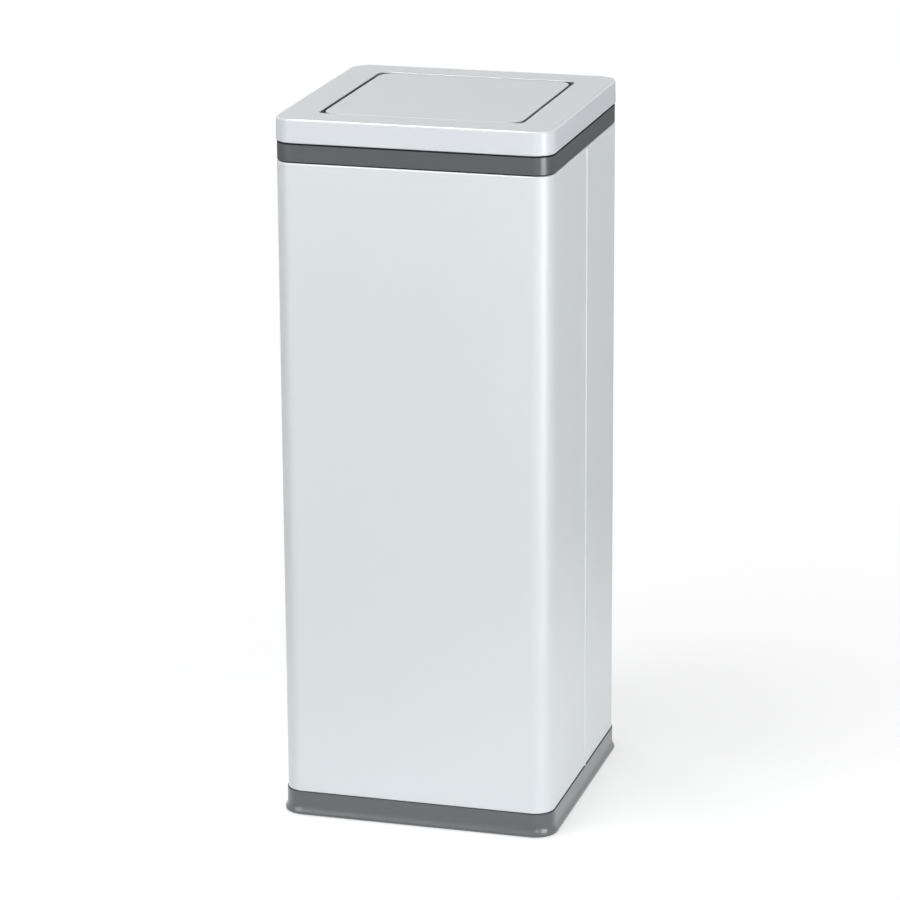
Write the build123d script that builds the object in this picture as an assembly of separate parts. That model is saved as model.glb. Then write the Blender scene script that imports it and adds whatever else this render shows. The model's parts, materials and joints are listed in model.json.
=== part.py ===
# Square swing-lid trash can: a folded steel body on a moulded base, a bag collar and a lid with a weighted flap.
# Millimetres. The origin is on the floor under the middle of the bin, +Z is up and the front faces -Y.
import os
from math import sqrt

from build123d import *

# Heights of the four bands that show from outside
base_height = 22.2
body_visible_height = 588.2
band_height = 17.8
lid_height = 21.8

# Steel body: a square tube of sheet, closed by a lock seam in its right side
body_width = 252.0
body_corner_radius = 18.0
sheet = 0.8
hem_gap = 1.0
hem_depth = 12.0
seam_offset = 3.0
seam_step = 0.9
seam_run = 6.0
seam_fold_width = 8.0
seam_fold_thickness = 1.2
seam_end_margin = 2.0
seam_base_gap = 0.3

# Steel pan that closes the body at the bottom
pan_sheet = 0.8
pan_wall_height = 20.0
pan_bend_radius = 2.4
pan_clearance = 0.3

# Moulded base skirt, its ledge, corner webs, feet and screws
skirt_lip = 0.8
skirt_clearance = 0.1
skirt_ground_gap = 1.0
flare_reach = 3.0
flare_start = 10.0
flare_end = 3.4
skirt_bottom_wall = 2.4
skirt_edge_round = 0.6
ledge_level = 6.0
ledge_thickness = 2.5
ledge_width = 8.0
web_leg = 56.0
foot_radius = 9.0
foot_inset = 21.0
foot_pocket = 1.5
foot_pocket_clearance = 0.3
foot_boss_wall = 2.5
foot_edge = 0.6
base_screw_radius = 1.9
base_screw_head_radius = 3.8
base_screw_head_height = 1.9
base_screw_reach = 3.0
base_screw_inset = 8.0
base_screw_run = 38.0
base_screw_clearance = 0.25

# Bag collar: the dark band with a skirt that hangs inside the body
band_inset = 0.2
upper_groove_height = 1.4
lower_groove_height = 1.0
groove_depth = 1.5
collar_clearance = 0.3
collar_skirt_wall = 1.9
collar_skirt_depth = 25.0
collar_lead_in = 0.8
seat_gap = 0.05

# Lid frame
lid_overhang = 0.5
lid_draft = 0.4
lid_wall = 2.2
lid_plate = 2.5
lid_top_round = 2.4
lid_bottom_round = 1.4
lid_skirt_clearance = 0.3
lid_skirt_wall = 2.3
lid_skirt_depth = 16.0
seat_rib_pitch = 46.0
seat_ribs_a_side = 5
rib_thickness = 1.6
plate_rib_depth = 8.0
plate_rib_spacing = 60.0
fuse = 0.5

# Opening in the lid, the thin lip round it and the flange set back under that lip
opening_side_border = 33.0
opening_end_border = 31.0
opening_corner_radius = 7.0
opening_round = 0.9
lip_width = 3.0
lip_thickness = 1.2
flange_wall = 2.0
flange_depth = 12.0

# Flap
flap_side_gap = 3.0
flap_end_gap = 2.0
flap_corner_radius = 14.0
flap_recess = 0.4
flap_plate = 2.0
flap_lip_width = 3.0
flap_lip_thickness = 1.2
flap_rim_depth = 9.0
flap_rim_wall = 1.8
flap_edge_round = 0.9
flap_rib_depth = 5.0
flap_rib_pitch = 45.0

# Pivot: pins fixed in the flap turn in bushes held under the lid
pivot_drop = 9.0
pin_radius = 2.5
pin_running_clearance = 0.05
pin_fixed_clearance = 0.02
pin_boss_radius = 5.0
pin_boss_length = 9.0
pin_seat_margin = 1.0
pin_tip = 1.0
pin_slot_clearance = 0.3
ear_thickness = 3.0
ear_half_width = 6.5
stop_radius_from_pivot = 16.0
stop_lug_radius = 0.9
stop_lug_overlap = 1.8
bush_wall = 2.0
bush_head_wall = 1.3
bush_head = 1.0
bracket_gap = 0.3
bracket_length = 8.0
bracket_barrel_wall = 1.5
bracket_foot_thickness = 3.0
bracket_foot_reach = 20.0
bracket_screw_spacing = 28.0
bracket_boss_radius = 4.0
bracket_foot_drop = 1.0
clip_thickness = 0.7
clip_outer_radius = 4.4
clip_groove_depth = 0.6
clip_side_clearance = 0.1

# Small screws that hold the brackets and the weight
small_screw_radius = 1.6
small_screw_head_radius = 3.2
small_screw_head_height = 2.2
small_screw_bite = 6.0
small_screw_hole_clearance = 0.25
thread_clearance = 0.03

# Steel weight that keeps the flap level
weight_end_gap = 9.0
weight_width = 24.0
weight_thickness = 8.0
weight_corner_radius = 3.0
weight_drop = 14.0
weight_screw_spacing = 100.0
weight_boss_radius = 5.0

# Levels and planes that follow from the sizes above
body_half = body_width / 2
corner_centre = body_half - body_corner_radius
body_top = base_height + body_visible_height
band_top = body_top + band_height
lid_top = band_top + lid_height
plate_under = lid_top - lid_plate

hem_half = body_half - 2 * sheet - hem_gap
hem_round = sheet + hem_gap / 2

skirt_half = body_half + skirt_clearance + skirt_lip
foot_half = body_half + flare_reach
ledge_under = ledge_level - ledge_thickness
ledge_inner_half = body_half - ledge_width
foot_centre = body_half - foot_inset
base_screw_x = body_half - base_screw_inset
base_screw_y = body_half - base_screw_run

band_half = body_half - band_inset
collar_skirt_half = hem_half - collar_clearance
collar_inner_half = collar_skirt_half - collar_skirt_wall

lid_half = body_half + lid_overhang
lid_inner_half = lid_half - lid_draft - lid_wall
lid_skirt_half = collar_inner_half - lid_skirt_clearance
lid_skirt_inner_half = lid_skirt_half - lid_skirt_wall

opening_half_x = body_half - opening_side_border
opening_half_y = body_half - opening_end_border
flange_inner_x = opening_half_x + lip_width
flange_outer_x = flange_inner_x + flange_wall
flange_outer_y = opening_half_y + lip_width + flange_wall
flange_bottom = lid_top - flange_depth

flap_half_x = opening_half_x - flap_side_gap
flap_half_y = opening_half_y - flap_end_gap
rim_half_x = flap_half_x - flap_lip_width
rim_half_y = flap_half_y - flap_lip_width
flap_top = lid_top - flap_recess
flap_under = flap_top - flap_plate
flap_rim_bottom = flap_top - flap_rim_depth

pivot_level = lid_top - pivot_drop
bush_radius = pin_radius + bush_wall
bracket_inner = flange_outer_x + bracket_gap
bracket_outer = bracket_inner + bracket_length
bracket_middle = (bracket_inner + bracket_outer) / 2
bracket_foot_top = pivot_level - bracket_foot_drop
bracket_foot_bottom = bracket_foot_top - bracket_foot_thickness
bush_end = bracket_outer + bush_head
pin_start = rim_half_x - ear_thickness - pin_boss_length + pin_seat_margin
clip_start = bush_end + clip_side_clearance
clip_end = clip_start + clip_thickness
weight_top = flap_top - weight_drop
weight_bottom = weight_top - weight_thickness
weight_half_length = rim_half_x - ear_thickness - weight_end_gap


# Helpers

def outline(half_width):
    """Rounded square whose corners are struck from the same centres as the body's corners."""
    return RectangleRounded(2 * half_width, 2 * half_width, half_width - corner_centre)


def oblong(half_x, half_y, radius, spread=0.0):
    """Rounded oblong, spread outwards by the same distance all round."""
    return RectangleRounded(2 * (half_x + spread), 2 * (half_y + spread), radius + spread)


def slab(sketch, low, high):
    """A flat outline raised from one level to another."""
    return extrude(Pos(0, 0, low) * sketch, high - low)


def wall(outer, inner, low, high):
    """An upright wall between two outlines."""
    return slab(outer - inner, low, high)


def section(*edges):
    """A closed section drawn with distance from the middle across and height up."""
    return Plane.XZ * make_face(edges)


def ring(profile):
    """One section carried round the square: straight along each side and turned about each corner."""
    side = extrude(Pos(0, -corner_centre, 0) * profile, 2 * corner_centre, dir=(0, 1, 0))
    corner_axis = Axis((corner_centre, corner_centre, 0), (0, 0, 1))
    corner = revolve(Pos(0, corner_centre, 0) * profile, corner_axis, 90)
    quarter = side + corner
    return Part() + [Rot(0, 0, 90 * turn) * quarter for turn in range(4)]


def rod(radius, start, end, y=0.0, z=pivot_level):
    """A round bar along X."""
    return Pos((start + end) / 2, y, z) * Cylinder(radius, end - start, rotation=(0, 90, 0))


def post(radius, x, y, low, high):
    """A round upright bar."""
    return Pos(x, y, (low + high) / 2) * Cylinder(radius, high - low)


def block(low, high):
    """A box between two corners."""
    size = [high[i] - low[i] for i in range(3)]
    middle = [(high[i] + low[i]) / 2 for i in range(3)]
    return Pos(*middle) * Box(*size)


def opposite(part):
    """The same piece on the left-hand side."""
    return mirror(part, about=Plane.YZ)


def corners(x, y):
    """The four places that mirror one place across both middle planes."""
    return [(x * side, y * end) for side in (-1, 1) for end in (-1, 1)]


def screw(radius, head_radius, head_height, x, y, seat, tip):
    """A pan-head screw driven upwards: its head hangs under the seat."""
    head = post(head_radius, x, y, seat - head_height, seat)
    head = chamfer(head.faces().sort_by(Axis.Z)[0].edges(), head_height / 2)
    return head + post(radius, x, y, seat, tip)


# Base

def base_skirt():
    """Moulded ring with a flared foot; the body and the pan stand on its inner ledge."""
    inner = body_half + skirt_clearance
    outer_wall = section(
        Line((inner, base_height), (skirt_half, base_height)),
        Line((skirt_half, base_height), (skirt_half, flare_start)),
        TangentArc((skirt_half, flare_start), (foot_half, flare_end), tangent=(0, -1)),
        Line((foot_half, flare_end), (foot_half, skirt_ground_gap + skirt_edge_round)),
        ThreePointArc(
            (foot_half, skirt_ground_gap + skirt_edge_round),
            (foot_half - skirt_edge_round * (1 - sqrt(0.5)), skirt_ground_gap + skirt_edge_round * (1 - sqrt(0.5))),
            (foot_half - skirt_edge_round, skirt_ground_gap),
        ),
        Line((foot_half - skirt_edge_round, skirt_ground_gap), (foot_half - skirt_bottom_wall, skirt_ground_gap)),
        Line((foot_half - skirt_bottom_wall, skirt_ground_gap), (body_half, ledge_under)),
        Line((body_half, ledge_under), (ledge_inner_half, ledge_under)),
        Line((ledge_inner_half, ledge_under), (ledge_inner_half, ledge_level)),
        Line((ledge_inner_half, ledge_level), (inner, ledge_level)),
        Line((inner, ledge_level), (inner, base_height)),
    )
    skirt = ring(outer_wall)
    reach = body_half
    web = make_face(Polyline((reach, reach), (reach, reach - web_leg), (reach - web_leg, reach), close=True))
    web = slab(web & outline(body_half), ledge_under, ledge_level)
    skirt += [Rot(0, 0, 90 * turn) * web for turn in range(4)]
    boss_bottom = foot_pocket_floor() - foot_pocket
    for x, y in corners(foot_centre, foot_centre):
        skirt += post(foot_radius + foot_boss_wall, x, y, boss_bottom, ledge_level)
        skirt -= post(foot_radius + foot_pocket_clearance, x, y, boss_bottom, foot_pocket_floor())
    for x, y in corners(base_screw_x, base_screw_y):
        skirt -= post(base_screw_radius + base_screw_clearance, x, y, ledge_under, ledge_level)
    return skirt


def foot_pocket_floor():
    """Level of the roof of the pocket that each foot pad is pressed up into."""
    return ledge_under


def foot_pad(x, y):
    """Rubber disc that carries one corner of the bin."""
    pad = post(foot_radius, x, y, 0, foot_pocket_floor())
    return chamfer(pad.faces().sort_by(Axis.Z)[0].edges(), foot_edge)


def base_screws():
    """Screws that draw the base up against the pan."""
    tip = ledge_level + pan_sheet + base_screw_reach
    return Part() + [
        screw(base_screw_radius, base_screw_head_radius, base_screw_head_height, x, y, ledge_under, tip)
        for x, y in corners(base_screw_x, base_screw_y)
    ]


def bottom_pan():
    """Shallow steel tray welded inside the foot of the body."""
    half = body_half - sheet - pan_clearance
    tray = slab(outline(half), ledge_level, ledge_level + pan_wall_height)
    tray = fillet(tray.faces().sort_by(Axis.Z)[0].edges(), pan_bend_radius)
    hollow = slab(outline(half - pan_sheet), ledge_level + pan_sheet, ledge_level + pan_wall_height)
    hollow = fillet(hollow.faces().sort_by(Axis.Z)[0].edges(), pan_bend_radius - pan_sheet)
    tray -= hollow
    for x, y in corners(base_screw_x, base_screw_y):
        tray -= post(base_screw_radius + thread_clearance, x, y, ledge_level, ledge_level + pan_sheet)
    return tray


# Steel body

def body_shell():
    """Sheet folded round, hemmed inwards at the top and joined by a lock seam on the right."""
    inner = body_half - sheet
    bend = body_top - hem_round
    hem_middle = body_half - hem_round
    hem_bottom = body_top - hem_depth
    sheet_section = section(
        Line((body_half, ledge_level), (body_half, bend)),
        ThreePointArc((body_half, bend), (hem_middle, body_top), (hem_half, bend)),
        Line((hem_half, bend), (hem_half, hem_bottom)),
        Line((hem_half, hem_bottom), (hem_half + sheet, hem_bottom)),
        Line((hem_half + sheet, hem_bottom), (hem_half + sheet, bend)),
        ThreePointArc((hem_half + sheet, bend), (hem_middle, bend + hem_gap / 2), (inner, bend)),
        Line((inner, bend), (inner, ledge_level)),
        Line((inner, ledge_level), (body_half, ledge_level)),
    )
    shell = ring(sheet_section)
    fold_bottom = ledge_level + pan_wall_height + seam_end_margin
    fold_top = hem_bottom - seam_end_margin
    shell += block(
        (inner - seam_fold_thickness, seam_offset, fold_bottom),
        (inner + sheet / 2, seam_offset + seam_fold_width, fold_top),
    )
    middle = body_half - sheet / 2
    step_round = seam_step * sqrt(0.5)
    folded_edge = make_face([
        Line((middle, seam_offset), (body_half, seam_offset)),
        ThreePointArc(
            (body_half, seam_offset),
            (body_half + step_round, seam_offset + seam_step - step_round),
            (body_half + seam_step, seam_offset + seam_step),
        ),
        Line((body_half + seam_step, seam_offset + seam_step), (body_half, seam_offset + seam_run)),
        Line((body_half, seam_offset + seam_run), (middle, seam_offset + seam_run)),
        Line((middle, seam_offset + seam_run), (middle, seam_offset)),
    ])
    return shell + slab(folded_edge, base_height + seam_base_gap, bend)


# Bag collar

def collar_band():
    """Dark band flush with the body; its skirt traps the bag inside the body's hem."""
    seat = body_top + seat_gap
    skirt_bottom = body_top - collar_skirt_depth
    groove_half = band_half - groove_depth
    return ring(section(Polyline(
        (collar_inner_half, skirt_bottom),
        (collar_skirt_half - collar_lead_in, skirt_bottom),
        (collar_skirt_half, skirt_bottom + 2 * collar_lead_in),
        (collar_skirt_half, seat),
        (groove_half, seat),
        (groove_half, seat + lower_groove_height),
        (band_half, seat + lower_groove_height),
        (band_half, band_top - upper_groove_height),
        (groove_half, band_top - upper_groove_height),
        (groove_half, band_top),
        (collar_inner_half, band_top),
        close=True,
    )))


# Lid

def lid_frame():
    """Moulded lid: drafted outer wall, flat top with a flanged opening, ribs and a locating skirt."""
    foot = Pos(0, 0, band_top) * outline(lid_half)
    crown = Pos(0, 0, lid_top) * outline(lid_half - lid_draft)
    frame = loft([foot.face(), crown.face()], ruled=True)
    frame = fillet(frame.faces().sort_by(Axis.Z)[-1].edges(), lid_top_round)
    frame = fillet(frame.faces().sort_by(Axis.Z)[0].edges(), lid_bottom_round)
    frame -= slab(outline(lid_inner_half), band_top, plate_under)
    opening = opening_half_x, opening_half_y, opening_corner_radius
    frame -= slab(oblong(*opening), plate_under, lid_top)
    frame = fillet(frame.faces().sort_by(Axis.Z)[-1].inner_wires()[0].edges(), opening_round)
    flange_inner = oblong(*opening, lip_width)
    frame -= slab(flange_inner, plate_under, lid_top - lip_thickness)
    flange_outer = oblong(*opening, lip_width + flange_wall)
    frame += wall(flange_outer, flange_inner, flange_bottom, plate_under + fuse)
    skirt_bottom = band_top - lid_skirt_depth
    frame += wall(outline(lid_skirt_half), outline(lid_skirt_inner_half), skirt_bottom, plate_under + fuse)
    frame += seat_ribs() + plate_ribs()
    for x, y in corners(bracket_middle, bracket_screw_spacing / 2):
        frame += post(bracket_boss_radius, x, y, bracket_foot_top, plate_under + fuse)
        pilot_top = bracket_foot_top + small_screw_bite
        frame -= post(small_screw_radius + thread_clearance, x, y, bracket_foot_top, pilot_top)
    slot_radius = pin_radius + pin_slot_clearance
    for side in (-1, 1):
        slot = rod(slot_radius, flange_inner_x, flange_outer_x)
        slot += block((flange_inner_x, -slot_radius, flange_bottom), (flange_outer_x, slot_radius, pivot_level))
        frame -= slot if side > 0 else opposite(slot)
    return frame


def seat_ribs():
    """Upright ribs between the outer wall and the skirt; their feet stand on the collar."""
    ribs = []
    for turn in range(4):
        for place in range(seat_ribs_a_side):
            along = (place - (seat_ribs_a_side - 1) / 2) * seat_rib_pitch
            low = (lid_skirt_half - fuse, along - rib_thickness / 2, band_top)
            high = (lid_inner_half + fuse, along + rib_thickness / 2, plate_under + fuse)
            ribs.append(Rot(0, 0, 90 * turn) * block(low, high))
    return Part() + ribs


def plate_ribs():
    """Ribs that stiffen the top between the opening's flange and the skirt."""
    ribs = []
    for turn in range(4):
        start = (flange_outer_x, flange_outer_y)[turn % 2] - fuse
        for along in (-plate_rib_spacing, plate_rib_spacing):
            low = (start, along - rib_thickness / 2, plate_under - plate_rib_depth)
            high = (lid_skirt_inner_half + fuse, along + rib_thickness / 2, plate_under + fuse)
            ribs.append(Rot(0, 0, 90 * turn) * block(low, high))
    return Part() + ribs


def bearing_bracket():
    """Right-hand bearing block: two feet screwed under the lid and a barrel for the bush."""
    feet = block(
        (bracket_inner, -bracket_foot_reach, bracket_foot_bottom),
        (bracket_outer, bracket_foot_reach, bracket_foot_top),
    )
    feet = fillet(feet.edges().filter_by(Axis.Z), bracket_length / 4)
    bracket = feet + rod(bush_radius + bracket_barrel_wall, bracket_inner, bracket_outer)
    bracket -= rod(bush_radius + pin_fixed_clearance, bracket_inner, bracket_outer)
    hole_radius = small_screw_radius + small_screw_hole_clearance
    for end in (-1, 1):
        y = end * bracket_screw_spacing / 2
        bracket -= post(hole_radius, bracket_middle, y, bracket_foot_bottom, bracket_foot_top)
    return bracket


def bracket_screws():
    """Screws that hold both bearing brackets up against the lid's bosses."""
    tip = bracket_foot_top + small_screw_bite
    return Part() + [
        screw(small_screw_radius, small_screw_head_radius, small_screw_head_height, x, y, bracket_foot_bottom, tip)
        for x, y in corners(bracket_middle, bracket_screw_spacing / 2)
    ]


def bush():
    """Right-hand nylon bush with its head on the outer side of the bracket."""
    sleeve = rod(bush_radius, bracket_inner, bracket_outer)
    sleeve += rod(bush_radius + bush_head_wall, bracket_outer, bush_end)
    return sleeve - rod(pin_radius + pin_running_clearance, bracket_inner, bush_end)


# Flap

def flap_panel():
    """Shallow moulded panel with a thin lip, a rim, ribs, weight bosses and an ear at each pivot."""
    panel_shape = flap_half_x, flap_half_y, flap_corner_radius
    panel = slab(oblong(*panel_shape), flap_rim_bottom, flap_top)
    panel = fillet(panel.faces().sort_by(Axis.Z)[-1].edges(), flap_edge_round)
    rim_outer = oblong(*panel_shape, -flap_lip_width)
    rim_inner = oblong(*panel_shape, -flap_lip_width - flap_rim_wall)
    panel -= wall(oblong(*panel_shape), rim_outer, flap_rim_bottom, flap_top - flap_lip_thickness)
    panel -= slab(rim_inner, flap_rim_bottom, flap_under)
    panel += flap_ribs()
    ear = pivot_ear()
    panel += ear
    panel += opposite(ear)
    pin_hole = rod(pin_radius + pin_fixed_clearance, pin_start - fuse, rim_half_x)
    panel -= pin_hole
    panel -= opposite(pin_hole)
    for side in (-1, 1):
        x = side * weight_screw_spacing / 2
        panel += post(weight_boss_radius, x, 0, weight_top, flap_under + fuse)
        panel -= post(small_screw_radius + thread_clearance, x, 0, weight_top, weight_top + small_screw_bite)
    return panel


def flap_ribs():
    """Crossed stiffening ribs under the panel."""
    low = flap_under - flap_rib_depth
    high = flap_under + fuse
    reach_x = rim_half_x - flap_rim_wall + fuse
    reach_y = rim_half_y - flap_rim_wall + fuse
    half = rib_thickness / 2
    ribs = []
    for along in (-flap_rib_pitch, 0, flap_rib_pitch):
        ribs.append(block((-reach_x, along - half, low), (reach_x, along + half, high)))
        ribs.append(block((along - half, -reach_y, low), (along + half, reach_y, high)))
    return Part() + ribs


def pivot_ear():
    """Right-hand ear: a plate that drops from the rim, the pin's boss and a stop lug below it."""
    ear_inner = rim_half_x - ear_thickness
    ear_bottom = pivot_level - stop_radius_from_pivot
    ear = block((ear_inner, -ear_half_width, ear_bottom), (rim_half_x, ear_half_width, flap_under + fuse / 2))
    ear += rod(ear_half_width, ear_inner, rim_half_x, z=ear_bottom)
    boss_start = ear_inner - pin_boss_length
    ear += rod(pin_boss_radius, boss_start, ear_inner)
    ear += block((boss_start, -rib_thickness / 2, pivot_level), (ear_inner, rib_thickness / 2, flap_under + fuse / 2))
    return ear + rod(stop_lug_radius, ear_inner, flange_inner_x + stop_lug_overlap, z=ear_bottom)


def pivot_pin():
    """Right-hand steel pin with a groove for its clip."""
    end = clip_end + pin_tip
    pin = rod(pin_radius, pin_start, end)
    groove = rod(pin_radius + fuse, clip_start - clip_side_clearance / 2, clip_end + clip_side_clearance / 2)
    return pin - (groove - rod(pin_radius - clip_groove_depth, clip_start - fuse, clip_end + fuse))


def pin_clip():
    """Right-hand spring clip that keeps the pin in its bush; its mouth opens downwards."""
    bore = pin_radius - clip_groove_depth + pin_fixed_clearance
    clip = rod(clip_outer_radius, clip_start, clip_end) - rod(bore, clip_start, clip_end)
    mouth = block((clip_start, -bore * 0.8, pivot_level - clip_outer_radius), (clip_end, bore * 0.8, pivot_level))
    return clip - mouth


def weight_bar():
    """Steel bar hung below the pivot so that the flap swings back level."""
    bar = oblong(weight_half_length, weight_width / 2, weight_corner_radius)
    bar = slab(bar, weight_bottom, weight_top)
    for side in (-1, 1):
        x = side * weight_screw_spacing / 2
        bar -= post(small_screw_radius + small_screw_hole_clearance, x, 0, weight_bottom, weight_top)
    return bar


def weight_screws():
    """Screws that hold the weight to the panel's bosses."""
    tip = weight_top + small_screw_bite
    spots = (-weight_screw_spacing / 2, weight_screw_spacing / 2)
    return Part() + [
        screw(small_screw_radius, small_screw_head_radius, small_screw_head_height, x, 0, weight_bottom, tip)
        for x in spots
    ]


# Every piece by name

pieces = {
    "base_skirt": base_skirt(),
    "foot_pad_front_left": foot_pad(-foot_centre, -foot_centre),
    "foot_pad_front_right": foot_pad(foot_centre, -foot_centre),
    "foot_pad_rear_left": foot_pad(-foot_centre, foot_centre),
    "foot_pad_rear_right": foot_pad(foot_centre, foot_centre),
    "base_screws": base_screws(),
    "bottom_pan": bottom_pan(),
    "body_shell": body_shell(),
    "collar_band": collar_band(),
    "lid_frame": lid_frame(),
    "bearing_bracket_right": bearing_bracket(),
    "bearing_bracket_left": opposite(bearing_bracket()),
    "bracket_screws": bracket_screws(),
    "bush_right": bush(),
    "bush_left": opposite(bush()),
    "flap_panel": flap_panel(),
    "pivot_pin_right": pivot_pin(),
    "pivot_pin_left": opposite(pivot_pin()),
    "pin_clip_right": pin_clip(),
    "pin_clip_left": opposite(pin_clip()),
    "weight_bar": weight_bar(),
    "weight_screws": weight_screws(),
}

os.makedirs("parts", exist_ok=True)
for name, piece in pieces.items():
    export_step(piece, f"parts/{name}.step")
print(len(pieces), "pieces, overall height", lid_top)
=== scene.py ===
# %% [markdown]
# A square swing-lid trash can, dressed and lit as a studio shot.
# The solid model comes first: every piece at full size, already grouped into the parts that move.
# Nothing in this script moves those pieces. It only gives them finishes, small details, light and a camera.
# Lengths are in metres, and the bin stands upright on height zero.

# %% Load the solid model
import json
from math import cos, pi, radians, sin

import bmesh
import bpy
from mathutils import Matrix, Vector


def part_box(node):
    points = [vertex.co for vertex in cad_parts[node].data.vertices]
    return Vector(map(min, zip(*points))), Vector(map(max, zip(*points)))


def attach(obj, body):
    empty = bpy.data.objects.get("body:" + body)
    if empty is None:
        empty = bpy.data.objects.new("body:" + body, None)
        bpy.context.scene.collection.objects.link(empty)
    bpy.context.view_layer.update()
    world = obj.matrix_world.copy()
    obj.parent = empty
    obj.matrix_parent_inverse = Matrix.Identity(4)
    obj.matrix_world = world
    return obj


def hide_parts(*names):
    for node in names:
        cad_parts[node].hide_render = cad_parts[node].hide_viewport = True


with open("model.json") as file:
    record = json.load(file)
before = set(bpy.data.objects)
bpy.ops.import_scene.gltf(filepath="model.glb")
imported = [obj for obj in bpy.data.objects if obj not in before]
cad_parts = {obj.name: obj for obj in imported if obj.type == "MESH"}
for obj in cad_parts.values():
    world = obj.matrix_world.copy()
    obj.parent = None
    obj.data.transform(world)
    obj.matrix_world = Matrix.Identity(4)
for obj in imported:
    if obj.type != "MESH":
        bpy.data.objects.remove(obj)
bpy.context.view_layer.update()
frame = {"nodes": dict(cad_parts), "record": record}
nodes = frame["nodes"]
print("pieces in the model:", len(nodes))

# %% [markdown]
# The camera comes next, because everything later is judged through it.
# It is placed from plain facts of the view: how far round the bin and how far above it the camera stands,
# how far away it is, and where one known point on the bin falls in the picture.

# %% Camera
picture_size = 900
focal_pixels = 3974.0
sensor_width = 36.0
camera_azimuth = radians(15.92)
camera_elevation = radians(16.64)
camera_roll = radians(0.356)
camera_distance = 3.646
camera_reach = 50
aim_point = Vector((0, 0, 0.31015))
aim_pixel = (451.3, 461.0)


def place_camera():
    """Stand the camera so that the aim point lands on its pixel."""
    forward = Vector((
        -sin(camera_azimuth) * cos(camera_elevation),
        cos(camera_azimuth) * cos(camera_elevation),
        -sin(camera_elevation),
    ))
    level = Vector((cos(camera_azimuth), sin(camera_azimuth), 0))
    down = forward.cross(level)
    right = level * cos(camera_roll) + down * sin(camera_roll)
    down = down * cos(camera_roll) - level * sin(camera_roll)
    side = (aim_pixel[0] - picture_size / 2) / focal_pixels * camera_distance
    drop = (aim_pixel[1] - picture_size / 2) / focal_pixels * camera_distance
    place = aim_point - forward * camera_distance - right * side - down * drop
    camera = bpy.data.objects.new("studio_camera", bpy.data.cameras.new("studio_camera"))
    camera.data.sensor_width = sensor_width
    camera.data.lens = focal_pixels * sensor_width / picture_size
    camera.data.clip_end = camera_reach
    axes = Matrix((right, -down, -forward)).transposed()
    camera.matrix_world = Matrix.Translation(place) @ axes.to_4x4()
    bpy.context.scene.collection.objects.link(camera)
    bpy.context.scene.camera = camera
    return camera


camera = place_camera()
print("camera stands at", [round(c, 3) for c in camera.location])

# %% [markdown]
# Node groups are the shared tools of the finishes. A group is built once, with named inputs and outputs,
# and each material places it with its own values. These small helpers keep the groups short to read:
# one adds a node, the other opens an empty group with its sockets.

# %% Small helpers for shader nodes
def add_node(tree, kind, place=(0, 0), **settings):
    """Add a shader node and set its plain properties."""
    node = tree.nodes.new(kind)
    node.location = place
    for name, value in settings.items():
        setattr(node, name, value)
    return node


def new_group(name, inputs, outputs):
    """An empty node group with float or colour inputs and the named outputs."""
    group = bpy.data.node_groups.new(name, "ShaderNodeTree")
    for label, kind, value in inputs:
        socket = group.interface.new_socket(label, in_out="INPUT", socket_type=kind)
        socket.default_value = value
    for label, kind in outputs:
        group.interface.new_socket(label, in_out="OUTPUT", socket_type=kind)
    source = add_node(group, "NodeGroupInput", (-900, 0))
    result = add_node(group, "NodeGroupOutput", (600, 0))
    return group, source, result


print("helpers:", add_node.__name__, "and", new_group.__name__)

# %% [markdown]
# Every surface of the bin has a fine texture: the pebble of a moulding, or the orange peel of sprayed paint.
# It could be a picture, but noise in the object's own space needs no unwrapping and never repeats.
# Two sizes of noise are mixed, so that the grain isn't too even.

# %% Group: fine grain
grain_detail = 2.0
coarse_ratio = 0.35


def make_grain():
    """Moulded grain or paint texture: a fine even pebble with a softer one over it."""
    group, source, result = new_group(
        "fine_grain",
        [("Scale", "NodeSocketFloat", 900.0), ("Coarse Share", "NodeSocketFloat", 0.3)],
        [("Height", "NodeSocketFloat")],
    )
    where = add_node(group, "ShaderNodeTexCoord", (-900, -200))
    fine = add_node(group, "ShaderNodeTexNoise", (-500, 100))
    fine.inputs["Detail"].default_value = grain_detail
    coarse_scale = add_node(group, "ShaderNodeMath", (-700, -150), operation="MULTIPLY")
    coarse_scale.inputs[1].default_value = coarse_ratio
    coarse = add_node(group, "ShaderNodeTexNoise", (-500, -150))
    blend = add_node(group, "ShaderNodeMix", (-200, 0), data_type="FLOAT")
    link = group.links.new
    link(source.outputs["Scale"], fine.inputs["Scale"])
    link(source.outputs["Scale"], coarse_scale.inputs[0])
    link(coarse_scale.outputs[0], coarse.inputs["Scale"])
    link(where.outputs["Object"], fine.inputs["Vector"])
    link(where.outputs["Object"], coarse.inputs["Vector"])
    link(source.outputs["Coarse Share"], blend.inputs["Factor"])
    link(fine.outputs["Fac"], blend.inputs["A"])
    link(coarse.outputs["Fac"], blend.inputs["B"])
    link(blend.outputs["Result"], result.inputs["Height"])
    return group


grain_group = make_grain()
print("shader group:", grain_group.name)

# %% [markdown]
# No large panel is one flat colour: paint lies a little thicker in places and plastic cools unevenly.
# Broad soft noise between two close colours gives that. The same noise goes out as a mask,
# so that the roughness can wander with it.

# %% Group: slow drift of tone
cloud_detail = 3.0


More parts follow.
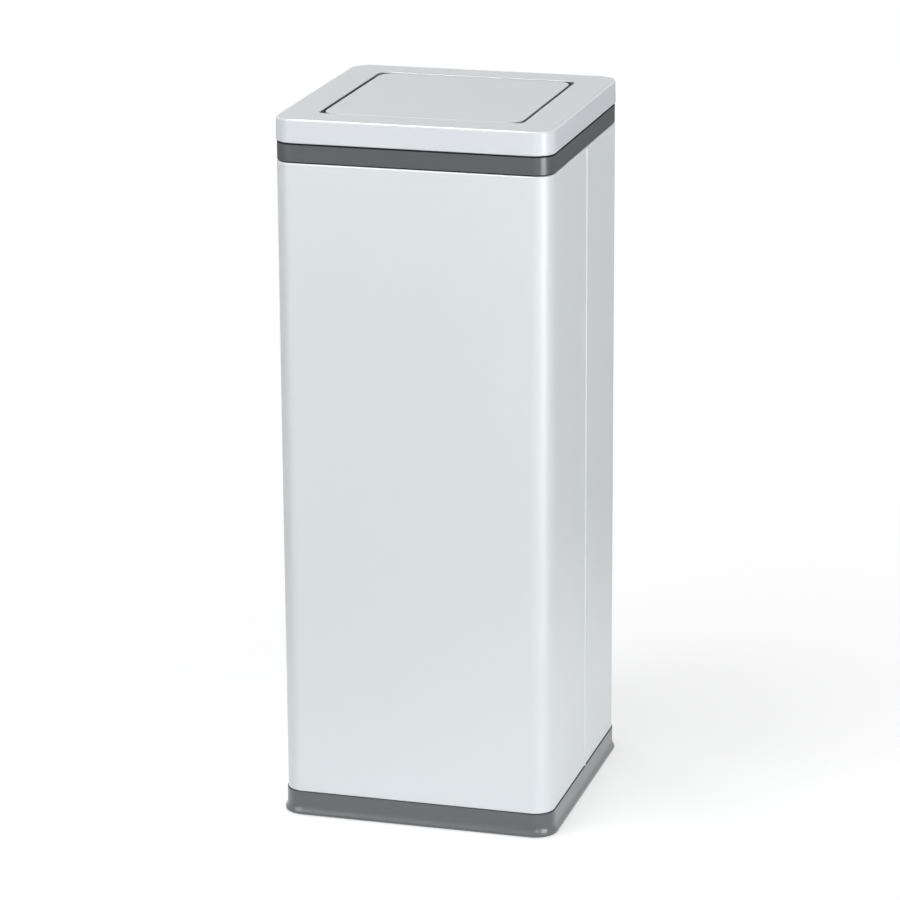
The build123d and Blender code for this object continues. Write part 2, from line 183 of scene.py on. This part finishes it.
def make_drift():
    """A broad soft variation of one colour, as sprayed paint and moulded panels have."""
    group, source, result = new_group(
        "tone_drift",
        [
            ("Colour", "NodeSocketColor", (0.7, 0.7, 0.7, 1)),
            ("Second Colour", "NodeSocketColor", (0.6, 0.6, 0.6, 1)),
            ("Scale", "NodeSocketFloat", 5.0),
            ("Amount", "NodeSocketFloat", 0.5),
        ],
        [("Colour", "NodeSocketColor"), ("Mask", "NodeSocketFloat")],
    )
    where = add_node(group, "ShaderNodeTexCoord", (-900, -200))
    cloud = add_node(group, "ShaderNodeTexNoise", (-600, -100))
    cloud.inputs["Detail"].default_value = cloud_detail
    amount = add_node(group, "ShaderNodeMath", (-350, -100), operation="MULTIPLY", use_clamp=True)
    blend = add_node(group, "ShaderNodeMix", (-100, 50), data_type="RGBA")
    link = group.links.new
    link(where.outputs["Object"], cloud.inputs["Vector"])
    link(source.outputs["Scale"], cloud.inputs["Scale"])
    link(cloud.outputs["Fac"], amount.inputs[0])
    link(source.outputs["Amount"], amount.inputs[1])
    link(amount.outputs[0], blend.inputs["Factor"])
    link(source.outputs["Colour"], blend.inputs["A"])
    link(source.outputs["Second Colour"], blend.inputs["B"])
    link(blend.outputs["Result"], result.inputs["Colour"])
    link(amount.outputs[0], result.inputs["Mask"])
    return group


drift_group = make_drift()
print("shader group:", drift_group.name)

# %% [markdown]
# Real edges are never knife-sharp, and hands polish them. A Bevel node rounds the shading near an edge
# without touching the mesh. Where its normal leaves the face's own normal there is an edge, which gives the
# mask. Noise breaks the mask up, so that the edge doesn't look outlined. The lighter colour it gives the
# edge is partly wear and partly a painted highlight.

# %% Group: edges
edge_samples = 6
patch_scale = 60.0


def make_edges():
    """Where a surface turns sharply: a mask, broken up by noise, that lightens and smooths the edge; the
    lighter colour is partly wear, partly a painted highlight.
    """
    group, source, result = new_group(
        "worn_and_highlit_edges",
        [("Radius", "NodeSocketFloat", 0.0004), ("Strength", "NodeSocketFloat", 1.0)],
        [("Mask", "NodeSocketFloat"), ("Normal", "NodeSocketVector")],
    )
    rounded = add_node(group, "ShaderNodeBevel", (-700, 100), samples=edge_samples)
    face = add_node(group, "ShaderNodeNewGeometry", (-700, -100))
    likeness = add_node(group, "ShaderNodeVectorMath", (-500, 0), operation="DOT_PRODUCT")
    turn = add_node(group, "ShaderNodeMath", (-300, 0), operation="SUBTRACT")
    turn.inputs[0].default_value = 1.0
    where = add_node(group, "ShaderNodeTexCoord", (-700, -300))
    patches = add_node(group, "ShaderNodeTexNoise", (-500, -300))
    patches.inputs["Scale"].default_value = patch_scale
    broken = add_node(group, "ShaderNodeMath", (-100, -100), operation="MULTIPLY")
    scaled = add_node(group, "ShaderNodeMath", (100, -100), operation="MULTIPLY", use_clamp=True)
    link = group.links.new
    link(source.outputs["Radius"], rounded.inputs["Radius"])
    link(rounded.outputs["Normal"], likeness.inputs[0])
    link(face.outputs["Normal"], likeness.inputs[1])
    link(likeness.outputs["Value"], turn.inputs[1])
    link(where.outputs["Object"], patches.inputs["Vector"])
    link(turn.outputs[0], broken.inputs[0])
    link(patches.outputs["Fac"], broken.inputs[1])
    link(broken.outputs[0], scaled.inputs[0])
    link(source.outputs["Strength"], scaled.inputs[1])
    link(scaled.outputs[0], result.inputs["Mask"])
    link(rounded.outputs["Normal"], result.inputs["Normal"])
    return group


edge_group = make_edges()
print("shader group:", edge_group.name)

# %% [markdown]
# The bin has narrow shadow gaps above and below its dark collar. A level strip of the surface, found by its
# height in the object's own space, is enough to mark the bottom of such a gap for painted shade, and it
# stays with the piece when the piece moves.

# %% Group: painted shade of a joint
def make_gap_shade():
    """A level band of the surface where two pieces meet, marked for painted shade where no light reaches the
    bottom of the gap.
    """
    group, source, result = new_group(
        "painted_gap_shade",
        [("Height", "NodeSocketFloat", 0.0), ("Half Width", "NodeSocketFloat", 0.001)],
        [("Mask", "NodeSocketFloat")],
    )
    where = add_node(group, "ShaderNodeTexCoord", (-900, -200))
    parts = add_node(group, "ShaderNodeSeparateXYZ", (-700, -200))
    offset = add_node(group, "ShaderNodeMath", (-500, -100), operation="SUBTRACT")
    away = add_node(group, "ShaderNodeMath", (-300, -100), operation="ABSOLUTE")
    inside = add_node(group, "ShaderNodeMath", (-100, 0), operation="LESS_THAN")
    link = group.links.new
    link(where.outputs["Object"], parts.inputs[0])
    link(parts.outputs["Z"], offset.inputs[0])
    link(source.outputs["Height"], offset.inputs[1])
    link(offset.outputs[0], away.inputs[0])
    link(away.outputs[0], inside.inputs[0])
    link(source.outputs["Half Width"], inside.inputs[1])
    link(inside.outputs[0], result.inputs["Mask"])
    return group


gap_shade_group = make_gap_shade()
print("shader group:", gap_shade_group.name)

# %% [markdown]
# All the finishes here follow one recipe: a base colour that drifts slowly, a slightly lighter edge (partly
# wear, partly a painted highlight), a fine grain that only bends the light, and a roughness that wanders a
# little.
# So one function builds a material from a short list of its own values.

# %% One recipe for every finish
relief_depth = 0.001


def finish(name, colour, second, edge, roughness, metallic=0.0, grain=900.0, bump=0.05, drift=5.0,
           edge_radius=0.0004, edge_strength=1.0, rough_spread=0.08, coat=0.0, coat_roughness=0.2):
    """One procedural material. Colours are linear, and grain and drift are the scales of their noise."""
    material = bpy.data.materials.new(name)
    material.use_nodes = True
    tree = material.node_tree
    link = tree.links.new
    shader = tree.nodes["Principled BSDF"]
    shader.inputs["Metallic"].default_value = metallic
    shader.inputs["Coat Weight"].default_value = coat
    shader.inputs["Coat Roughness"].default_value = coat_roughness
    tone = add_node(tree, "ShaderNodeGroup", (-800, 200), node_tree=drift_group)
    tone.inputs["Colour"].default_value = (*colour, 1)
    tone.inputs["Second Colour"].default_value = (*second, 1)
    tone.inputs["Scale"].default_value = drift
    tone.inputs["Amount"].default_value = 1.0
    edges = add_node(tree, "ShaderNodeGroup", (-800, -50), node_tree=edge_group)
    edges.inputs["Radius"].default_value = edge_radius
    edges.inputs["Strength"].default_value = edge_strength
    lighten = add_node(tree, "ShaderNodeMix", (-500, 200), data_type="RGBA")
    lighten.inputs["B"].default_value = (*edge, 1)
    link(tone.outputs["Colour"], lighten.inputs["A"])
    link(edges.outputs["Mask"], lighten.inputs["Factor"])
    link(lighten.outputs["Result"], shader.inputs["Base Color"])
    spread = add_node(tree, "ShaderNodeMapRange", (-500, -50))
    spread.inputs["To Min"].default_value = roughness - rough_spread / 2
    spread.inputs["To Max"].default_value = roughness + rough_spread / 2
    link(tone.outputs["Mask"], spread.inputs["Value"])
    link(spread.outputs["Result"], shader.inputs["Roughness"])
    pebbles = add_node(tree, "ShaderNodeGroup", (-800, -300), node_tree=grain_group)
    pebbles.inputs["Scale"].default_value = grain
    relief = add_node(tree, "ShaderNodeBump", (-300, -300))
    relief.inputs["Strength"].default_value = bump
    relief.inputs["Distance"].default_value = relief_depth
    link(pebbles.outputs["Height"], relief.inputs["Height"])
    link(edges.outputs["Normal"], relief.inputs["Normal"])
    link(relief.outputs["Normal"], shader.inputs["Normal"])
    return material


print("recipe:", finish.__name__)

# %% [markdown]
# The body is sheet steel sprayed in a satin silver-grey. Silver paint holds fine metal flake,
# so it is a little metallic, and its grain is finer than that of the moulded lid.

# %% Silver paint
silver_paint = finish(
    "silver_paint", colour=(0.655, 0.690, 0.715), second=(0.675, 0.707, 0.730), edge=(0.80, 0.83, 0.86),
    roughness=0.46, metallic=0.15, grain=2600.0, bump=0.03, drift=6.0, edge_radius=0.0003, edge_strength=0.5,
)
print("finish:", silver_paint.name)

# %% [markdown]
# The lid and the flap are moulded plastic coloured to match the paint, with a fine even pebble.
# The collar and the base share one compound, a satin dark grey that picks up soft light on its curves.
# A thin clear coat stands for the smooth skin of a moulding over its duller inside. The collar gets its own
# copy of the dark plastic, because painted shade goes into its shadow gaps in the next step. The bushes are
# pale nylon.

# %% Plastics
# The lid's wider, stronger edge mask gives lighter rims: partly wear, partly a painted highlight.
light_plastic = finish(
    "light_plastic", colour=(0.640, 0.672, 0.705), second=(0.660, 0.690, 0.720), edge=(0.82, 0.85, 0.88),
    roughness=0.40, grain=1500.0, bump=0.05, drift=7.0, edge_radius=0.0010, edge_strength=1.2,
    coat=0.5, coat_roughness=0.20,
)
dark_coat = 0.6
dark_moulding = dict(
    colour=(0.080, 0.088, 0.095), second=(0.092, 0.100, 0.107), edge=(0.20, 0.21, 0.22),
    roughness=0.36, grain=1300.0, bump=0.07, drift=9.0, edge_radius=0.0004, edge_strength=0.8,
    coat=dark_coat, coat_roughness=0.18,
)
dark_plastic = finish("dark_plastic", **dark_moulding)
collar_plastic = finish("collar_plastic", **dark_moulding)
bush_nylon = finish(
    "bush_nylon", colour=(0.78, 0.77, 0.70), second=(0.70, 0.69, 0.62), edge=(0.86, 0.85, 0.80),
    roughness=0.38, grain=1800.0, bump=0.03, drift=40.0,
)
print("finishes:", [made.name for made in (light_plastic, dark_plastic, collar_plastic, bush_nylon)])

# %% [markdown]
# In these two grooves hardly any light gets in, so they read as black lines. So in the collar's material two
# level strips are painted black as shade, made dull, and carry no clear coat.

# %% Painted shade in the shadow gaps of the collar
# The black of the groove strips is painted shade.
painted_shade_black = (0.004, 0.004, 0.004, 1)
groove_roughness = 0.9
upper_gap_height = 0.0014
lower_gap_height = 0.0010
gap_margin = 0.0001


def paint_gap_shade(material, gaps):
    """Paint shade black into the level strips (low, high) of a finish, and dull them."""
    tree = material.node_tree
    link = tree.links.new
    shader = tree.nodes["Principled BSDF"]
    masks = []
    for low, high in gaps:
        strip = add_node(tree, "ShaderNodeGroup", (-300, 500), node_tree=gap_shade_group)
        strip.inputs["Height"].default_value = (low + high) / 2
        strip.inputs["Half Width"].default_value = (high - low) / 2
        masks.append(strip)
    both = add_node(tree, "ShaderNodeMath", (-100, 500), operation="ADD", use_clamp=True)
    link(masks[0].outputs["Mask"], both.inputs[0])
    link(masks[1].outputs["Mask"], both.inputs[1])
    black = add_node(tree, "ShaderNodeMix", (0, 250), data_type="RGBA")
    black.inputs["B"].default_value = painted_shade_black
    dull = add_node(tree, "ShaderNodeMix", (0, 0), data_type="FLOAT")
    dull.inputs["B"].default_value = groove_roughness
    sheen = add_node(tree, "ShaderNodeMapRange", (0, -250))
    sheen.inputs["To Min"].default_value = dark_coat
    sheen.inputs["To Max"].default_value = 0.0
    link(shader.inputs["Base Color"].links[0].from_socket, black.inputs["A"])
    link(shader.inputs["Roughness"].links[0].from_socket, dull.inputs["A"])
    link(both.outputs[0], black.inputs["Factor"])
    link(both.outputs[0], dull.inputs["Factor"])
    link(both.outputs[0], sheen.inputs["Value"])
    link(black.outputs["Result"], shader.inputs["Base Color"])
    link(dull.outputs["Result"], shader.inputs["Roughness"])
    link(sheen.outputs["Result"], shader.inputs["Coat Weight"])


collar_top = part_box("collar_band")[1][2]
body_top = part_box("body_shell")[1][2]
paint_gap_shade(collar_plastic, [
    (collar_top - upper_gap_height - gap_margin, collar_top + gap_margin),
    (body_top, body_top + lower_gap_height + gap_margin),
])
print("shadow gaps at heights", round(collar_top - upper_gap_height, 4), "and", round(body_top, 4))

# %% [markdown]
# The small metal and rubber pieces are mostly hidden. They show from below, with the lid lifted or when
# the flap swings, so they still get a true finish: dull black rubber, bright zinc plate on screws and pins,
# and the grey skin of rolled bar on the weight.

# %% Rubber and steel
foot_rubber = finish(
    "foot_rubber", colour=(0.030, 0.030, 0.031), second=(0.045, 0.045, 0.045), edge=(0.09, 0.09, 0.09),
    roughness=0.78, grain=1100.0, bump=0.12, drift=60.0,
)
plated_steel = finish(
    "plated_steel", colour=(0.60, 0.60, 0.58), second=(0.52, 0.52, 0.52), edge=(0.74, 0.74, 0.72),
    roughness=0.30, metallic=1.0, grain=3000.0, bump=0.03, drift=90.0, edge_radius=0.0002,
)
weight_steel = finish(
    "weight_steel", colour=(0.34, 0.34, 0.35), second=(0.25, 0.25, 0.26), edge=(0.55, 0.55, 0.55),
    roughness=0.48, metallic=0.9, grain=1200.0, bump=0.10, drift=25.0,
)
print("finishes:", [made.name for made in (foot_rubber, plated_steel, weight_steel)])

# %% [markdown]
# The model's own record says what each piece is made of, so the finishes are handed out from it.
# The collar then swaps its dark plastic for the copy with painted shade in its shadow gaps.

# %% Give every piece its finish
finishes = {
    "silver_paint": silver_paint,
    "light_plastic": light_plastic,
    "dark_plastic": dark_plastic,
    "bush_nylon": bush_nylon,
    "foot_rubber": foot_rubber,
    "plated_steel": plated_steel,
    "weight_steel": weight_steel,
}
for row in frame["record"]["subparts"]:
    piece = nodes[row["node"]]
    piece.data.materials.clear()
    piece.data.materials.append(finishes[row["material_slot"]])
nodes["collar_band"].data.materials[0] = collar_plastic
print("pieces with a finish:", len(nodes), "and", collar_plastic.name, "on the collar")

# %% [markdown]
# The screws of the solid model are plain turned shapes. These copies stand where those do, and each head
# has the cross recess that a driver needs. A turned profile gives the head and shank, and two crossed
# wedges are cut out of it. Most values are shares of the screw's own size, so one recipe fits all.

# %% Pan-head screws: values
recess_width = 0.20
recess_length = 1.05
recess_depth = 0.62
recess_tip_share = 0.55
head_profile = [(0, -1), (0.62, -1), (0.86, -0.86), (0.97, -0.62), (1, -0.30), (1, 0)]
point_length_share = 0.8
point_width_share = 0.3
turned_steps = 28
same_point = 1e-7
head_turn_step = 0.7
screw_sharp_angle = 35
print("points on the head's profile:", len(head_profile))

# %% [markdown]
# A lathe turns a profile about an axis, and so does bmesh's spin. That gives the plain screw.
# The cutter for the recess is two crossed bars that narrow towards their tip, as a driver's does.

# %% Pan-head screws: shapes
def turned(name, profile):
    """Turn a list of (radius, height) points about the upright axis into a closed mesh."""
    shape = bmesh.new()
    points = [shape.verts.new((radius, 0, height)) for radius, height in profile]
    edges = [shape.edges.new(pair) for pair in zip(points, points[1:])]
    bmesh.ops.spin(
        shape, geom=points + edges, cent=(0, 0, 0), axis=(0, 0, 1), angle=2 * pi, steps=turned_steps,
        use_duplicate=False,
    )
    bmesh.ops.remove_doubles(shape, verts=shape.verts, dist=same_point)
    bmesh.ops.recalc_face_normals(shape, faces=shape.faces)
    mesh = bpy.data.meshes.new(name)
    shape.to_mesh(mesh)
    shape.free()
    return mesh


def cross_wedges(head_radius, head_height):
    """Two crossed bars, narrower towards their tip, as the end of a screwdriver is."""
    shape = bmesh.new()
    half_length = recess_length * head_radius / 2
    half_width = recess_width * head_radius / 2
    depth = recess_depth * head_height
    for turn in (0, pi / 2):
        bar = bmesh.ops.create_cube(shape, size=1.0)["verts"]
        for corner in bar:
            inside = corner.co.z > 0
            shrink = recess_tip_share if inside else 1.0
            corner.co.x *= 2 * half_length * shrink
            corner.co.y *= 2 * half_width * shrink
            corner.co.z = depth if inside else -depth
        bmesh.ops.rotate(shape, verts=bar, cent=(0, 0, 0), matrix=Matrix.Rotation(turn, 3, "Z"))
    mesh = bpy.data.meshes.new("recess_cutter")
    shape.to_mesh(mesh)
    shape.free()
    return mesh


print("shapes:", turned.__name__, "and", cross_wedges.__name__)

# %% [markdown]
# A boolean takes the cutter out of the screw. Its result is made into a plain mesh at once,
# so that nothing is left to work out later. The recess is turned by an angle that is given from outside,
# because the screws of one node aren't all driven home to the same angle.

# %% Pan-head screws: one screw
def cut_away(piece, cutter):
    """Take the cutter's shape out of the piece for good and drop the cutter."""
    tool = piece.modifiers.new("recess", "BOOLEAN")
    tool.object = cutter
    tool.operation = "DIFFERENCE"
    tool.solver = "EXACT"
    tool.use_self = True
    bpy.context.view_layer.update()
    solved = piece.evaluated_get(bpy.context.evaluated_depsgraph_get())
    piece.data = bpy.data.meshes.new_from_object(solved)
    piece.modifiers.clear()
    bpy.data.objects.remove(cutter)


def screw_mesh(head_radius, head_height, shank_radius, length, turn):
    """One screw, head down, with its seat at height zero and its shank upwards."""
    profile = [(across * head_radius, up * head_height) for across, up in head_profile]
    profile += [
        (shank_radius, 0),
        (shank_radius, length - point_length_share * shank_radius),
        (point_width_share * shank_radius, length),
        (0, length),
    ]
    piece = bpy.data.objects.new("screw_blank", turned("screw_blank", profile))
    cutter = bpy.data.objects.new("recess_cutter", cross_wedges(head_radius, head_height))
    for thing in (piece, cutter):
        bpy.context.scene.collection.objects.link(thing)
    cutter.location.z = -head_height
    cutter.rotation_euler.z = turn
    cut_away(piece, cutter)
    mesh = piece.data
    bpy.data.objects.remove(piece)
    return mesh


print("one screw:", cut_away.__name__, "and", screw_mesh.__name__)

# %% [markdown]
# The box of a node of plain screws tells where they stand: one head's radius in from each side.
# The new screws go there, ride on the same body and take the place of the plain ones.

# %% Pan-head screws: all of one node
def fit_screws(node, body, head_radius, head_height, shank_radius):
    """Cross-head screws in the places of one node's plain ones, read from the node's box."""
    low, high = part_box(node)
    seat = low[2] + head_height
    length = high[2] - seat
    across = sorted({round(low[0] + head_radius, 5), round(high[0] - head_radius, 5)})
    along = sorted({round(low[1] + head_radius, 5), round(high[1] - head_radius, 5)})
    joined = bmesh.new()
    for number, (x, y) in enumerate((x, y) for x in across for y in along):
        single = screw_mesh(head_radius, head_height, shank_radius, length, turn=head_turn_step * number)
        single.transform(Matrix.Translation((x, y, seat)))
        joined.from_mesh(single)
        bpy.data.meshes.remove(single)
    mesh = bpy.data.meshes.new(node + "_cross_head")
    joined.to_mesh(mesh)
    joined.free()
    for face in mesh.polygons:
        face.use_smooth = True
    mesh.set_sharp_from_angle(angle=radians(screw_sharp_angle))
    mesh.materials.append(plated_steel)
    screws = bpy.data.objects.new(node + "_cross_head", mesh)
    bpy.context.scene.collection.objects.link(screws)
    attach(screws, body)
    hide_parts(node)
    print(screws.name, "stands at", len(across) * len(along), "places")
    return screws


print("all of one node:", fit_screws.__name__)

# %% [markdown]
# There are three nodes of screws: four screws under the base, four that hold the brackets to the lid
# and two that hold the weight to the flap. The radii and head heights are those of the plain screws.

# %% Fit the screws
fit_screws("base_screws", "bin", head_radius=0.0038, head_height=0.0019, shank_radius=0.0019)
fit_screws("bracket_screws", "lid", head_radius=0.0032, head_height=0.0022, shank_radius=0.0016)
fit_screws("weight_screws", "flap", head_radius=0.0032, head_height=0.0022, shank_radius=0.0016)

# %% [markdown]
# Where the painted body drops into the base there is a thin dark line all round, the shade of the joint. A
# low black bead that hugs the body just above the base, rounded on its upper edge, stands there as painted
# shade.
# One ring of points follows the body for each point of the bead's section, and faces join the rings.

# %% Dark bead of painted shade round the foot of the body
lip_height = 0.0010
lip_reach = 0.00045
lip_grip = 0.0003
lip_round_steps = 4
lip_sharp_angle = 40
body_corner_radius = 0.018
corner_steps = 10


def rounded_square(half, radius):
    """Points anticlockwise round a square with rounded corners."""
    points = []
    centre = half - radius
    for quarter in range(4):
        middle = pi / 4 + quarter * pi / 2
        corner = Vector((centre if cos(middle) > 0 else -centre, centre if sin(middle) > 0 else -centre))
        for step in range(corner_steps + 1):
            angle = middle - pi / 4 + step / corner_steps * pi / 2
            points.append(corner + radius * Vector((cos(angle), sin(angle))))
    return points


def make_shade_bead():
    """A dark bead on the body, standing on the base's top edge, as painted shade of the joint."""
    body_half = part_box("body_shell")[1][1]
    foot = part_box("base_skirt")[1][2]
    rows = [(lip_reach, 0.0)]
    for step in range(lip_round_steps + 1):
        angle = step / lip_round_steps * pi / 2
        rows.append((lip_reach * cos(angle), lip_height - lip_reach + lip_reach * sin(angle)))
    rows.append((-lip_grip, lip_height))
    rows.append((-lip_grip, 0.0))
    shape = bmesh.new()
    rings = []
    for reach, rise in rows:
        outline = rounded_square(body_half + reach, body_corner_radius + reach)
        rings.append([shape.verts.new((point.x, point.y, foot + rise)) for point in outline])
    for row, following in zip(rings, rings[1:] + rings[:1]):
        for index in range(len(row)):
            after = (index + 1) % len(row)
            shape.faces.new((row[index], row[after], following[after], following[index]))
    bmesh.ops.recalc_face_normals(shape, faces=shape.faces)
    mesh = bpy.data.meshes.new("shade_bead")
    shape.to_mesh(mesh)
    shape.free()
    for face in mesh.polygons:
        face.use_smooth = True
    mesh.set_sharp_from_angle(angle=radians(lip_sharp_angle))
    mesh.materials.append(foot_rubber)
    lip = bpy.data.objects.new("shade_bead", mesh)
    bpy.context.scene.collection.objects.link(lip)
    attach(lip, "bin")
    return lip


shade_bead = make_shade_bead()
print("dirt lip points:", len(shade_bead.data.vertices))

# %% [markdown]
# The studio is a pale floor under an even white surround.
# The camera and shiny surfaces see a plain white surround, while everything else is lit by a dimmer one,
# so that the lamps can shape the bin. A Light Path node tells the two kinds of ray apart.

# %% Surround
surround_light = 0.12
background_white = 1.0
plain_white = (1, 1, 1, 1)
node_step = 200


def seen_or_mirrored(tree, rays, place):
    """A socket that is one for rays from the camera, a reflection or clear material, and zero for others."""
    across, up = place
    first = add_node(tree, "ShaderNodeMath", (across, up), operation="ADD")
    both = add_node(tree, "ShaderNodeMath", (across + node_step, up), operation="ADD", use_clamp=True)
    tree.links.new(rays.outputs["Is Camera Ray"], first.inputs[0])
    tree.links.new(rays.outputs["Is Glossy Ray"], first.inputs[1])
    tree.links.new(first.outputs[0], both.inputs[0])
    tree.links.new(rays.outputs["Is Transmission Ray"], both.inputs[1])
    return both.outputs[0]


def make_surround():
    """World light: white where it is seen or mirrored, dimmer where it only lights."""
    world = bpy.data.worlds.new("studio_surround")
    bpy.context.scene.world = world
    world.use_nodes = True
    tree = world.node_tree
    link = tree.links.new
    backdrop = tree.nodes["Background"]
    backdrop.inputs["Color"].default_value = plain_white
    rays = add_node(tree, "ShaderNodeLightPath", (-800, 0))
    level = add_node(tree, "ShaderNodeMapRange", (-300, 0))
    level.inputs["To Min"].default_value = surround_light
    level.inputs["To Max"].default_value = background_white
    link(seen_or_mirrored(tree, rays, (-600, 0)), level.inputs["Value"])
    link(level.outputs["Result"], backdrop.inputs["Strength"])
    return world


surround = make_surround()
print("surround:", surround.name, "lights at", surround_light)

# %% [markdown]
# The floor is one large pale sheet. Close to the bin it is partly lit like paper and partly glows,
# so it keeps a soft shadow. Further away it fades to plain white for the camera, which hides its end.
# In reflections the far floor is much darker than that: a white one made the right side of the collar
# far brighter than it is in the photo.

# %% Floor paper
floor_tone = 0.86
seen_tone = 0.55
floor_lift = 0.58
mirrored_white = 0.12
shadow_near = 0.30
shadow_far = 1.0
paper_roughness = 0.9


def make_floor_paper():
    """Pale paper: it keeps the bin's soft shadow and fades to plain white away from the bin."""
    material = bpy.data.materials.new("floor_paper")
    material.use_nodes = True
    tree = material.node_tree
    link = tree.links.new
    shader = tree.nodes["Principled BSDF"]
    shader.inputs["Roughness"].default_value = paper_roughness
    shader.inputs["Specular IOR Level"].default_value = 0.0
    shader.inputs["Emission Color"].default_value = plain_white
    rays = add_node(tree, "ShaderNodeLightPath", (-1400, 200))
    looking = seen_or_mirrored(tree, rays, (-1200, 200))
    where = add_node(tree, "ShaderNodeTexCoord", (-1200, -100))
    distance = add_node(tree, "ShaderNodeVectorMath", (-1000, -100), operation="LENGTH")
    fade = add_node(tree, "ShaderNodeMapRange", (-800, -100), interpolation_type="SMOOTHSTEP")
    fade.inputs["From Min"].default_value = shadow_near
    fade.inputs["From Max"].default_value = shadow_far
    near_tone = add_node(tree, "ShaderNodeMapRange", (-600, 400))
    near_tone.inputs["To Min"].default_value = floor_tone
    near_tone.inputs["To Max"].default_value = seen_tone
    tone = add_node(tree, "ShaderNodeMath", (-200, 300), operation="MULTIPLY")
    nearness = add_node(tree, "ShaderNodeMath", (-500, 100), operation="MULTIPLY_ADD")
    nearness.inputs[1].default_value = -1.0
    nearness.inputs[2].default_value = 1.0
    seen = add_node(tree, "ShaderNodeMath", (-700, 100), operation="MULTIPLY")
    far_white = add_node(tree, "ShaderNodeMapRange", (-700, -300))
    far_white.inputs["To Min"].default_value = mirrored_white
    far_white.inputs["To Max"].default_value = background_white
    lift = add_node(tree, "ShaderNodeMapRange", (-400, -200))
    lift.inputs["To Min"].default_value = floor_lift
    glow = add_node(tree, "ShaderNodeMath", (-200, -200), operation="MULTIPLY")
    link(where.outputs["Object"], distance.inputs[0])
    link(distance.outputs["Value"], fade.inputs["Value"])
    link(looking, seen.inputs[0])
    link(fade.outputs["Result"], seen.inputs[1])
    link(seen.outputs[0], nearness.inputs[0])
    link(looking, near_tone.inputs["Value"])
    link(near_tone.outputs["Result"], tone.inputs[0])
    link(nearness.outputs[0], tone.inputs[1])
    link(tone.outputs[0], shader.inputs["Base Color"])
    link(rays.outputs["Is Camera Ray"], far_white.inputs["Value"])
    link(far_white.outputs["Result"], lift.inputs["To Max"])
    link(fade.outputs["Result"], lift.inputs["Value"])
    link(lift.outputs["Result"], glow.inputs[0])
    link(looking, glow.inputs[1])
    link(glow.outputs[0], shader.inputs["Emission Strength"])
    return material


floor_paper = make_floor_paper()
print("floor paper fades to white between", shadow_near, "and", shadow_far, "m from the middle of the bin")

# %% [markdown]
# The sheet itself is a single square face on height zero, where the foot pads stand.
# It belongs to the studio and not to the bin.

# %% Floor
floor_size = 12.0


def make_floor():
    """One large square sheet of floor paper under the bin."""
    mesh = bpy.data.meshes.new("studio_floor")
    reach = floor_size / 2
    corners = [(-reach, -reach, 0), (reach, -reach, 0), (reach, reach, 0), (-reach, reach, 0)]
    mesh.from_pydata(corners, [], [(0, 1, 2, 3)])
    mesh.materials.append(floor_paper)
    floor = bpy.data.objects.new("studio_floor", mesh)
    bpy.context.scene.collection.objects.link(floor)
    return floor


floor = make_floor()
print("floor:", floor.name, "is", floor_size, "m wide")

# %% [markdown]
# Four soft boxes light what the photo shows: a broad one from the left and a closer one from the right set
# the tone of the two sides, a small one near the camera draws the bright line down the front corner, and one
# overhead lights the lid. Their powers started from a render with each lamp alone and the sum that came
# closest to the photo's tones, and were then trimmed by measuring.
# Two more behind the bin light its back and stay out of reflections. The right one of them also reaches
# the right side a little. A last one shines only in gloss, for the thin bright lines along the lid's edges.
# The view transform is the plain one, so that white stays white.

# %% Lamps
lamp_target_height = 0.33


def add_lamp(name, azimuth, elevation, distance, size, power):
    """A square soft box that faces the middle of the bin, from a given way round and height."""
    turn = radians(azimuth)
    tilt = radians(elevation)
    middle = Vector((0, 0, lamp_target_height))
    away = Vector((sin(turn) * cos(tilt), -cos(turn) * cos(tilt), sin(tilt)))
    data = bpy.data.lights.new(name, "AREA")
    data.shape = "SQUARE"
    data.size = size
    data.energy = power
    lamp = bpy.data.objects.new(name, data)
    lamp.location = middle + away * distance
    lamp.rotation_euler = away.to_track_quat("Z", "Y").to_euler()
    bpy.context.scene.collection.objects.link(lamp)
    return lamp


front = add_lamp("front_softbox", azimuth=22, elevation=8, distance=4.0, size=1.0, power=19.5)
left = add_lamp("left_softbox", azimuth=-38, elevation=14, distance=3.2, size=1.8, power=35.0)
right = add_lamp("right_softbox", azimuth=60, elevation=5, distance=2.2, size=1.1, power=27.0)
overhead = add_lamp("overhead_softbox", azimuth=-35, elevation=71, distance=2.6, size=1.2, power=26.0)
back_left = add_lamp("back_left_softbox", azimuth=235, elevation=5, distance=3.0, size=1.8, power=48)
back_right = add_lamp("back_right_softbox", azimuth=150, elevation=5, distance=3.0, size=1.8, power=30)
glint = add_lamp("edge_glint", azimuth=-42, elevation=67, distance=2.4, size=0.9, power=55)
for lamp in (back_left, back_right):
    lamp.visible_glossy = False
glint.visible_diffuse = False
lamps = [front, left, right, overhead, back_left, back_right, glint]
bpy.context.scene.view_settings.view_transform = "Standard"
print("lamps:", [lamp.name for lamp in lamps])
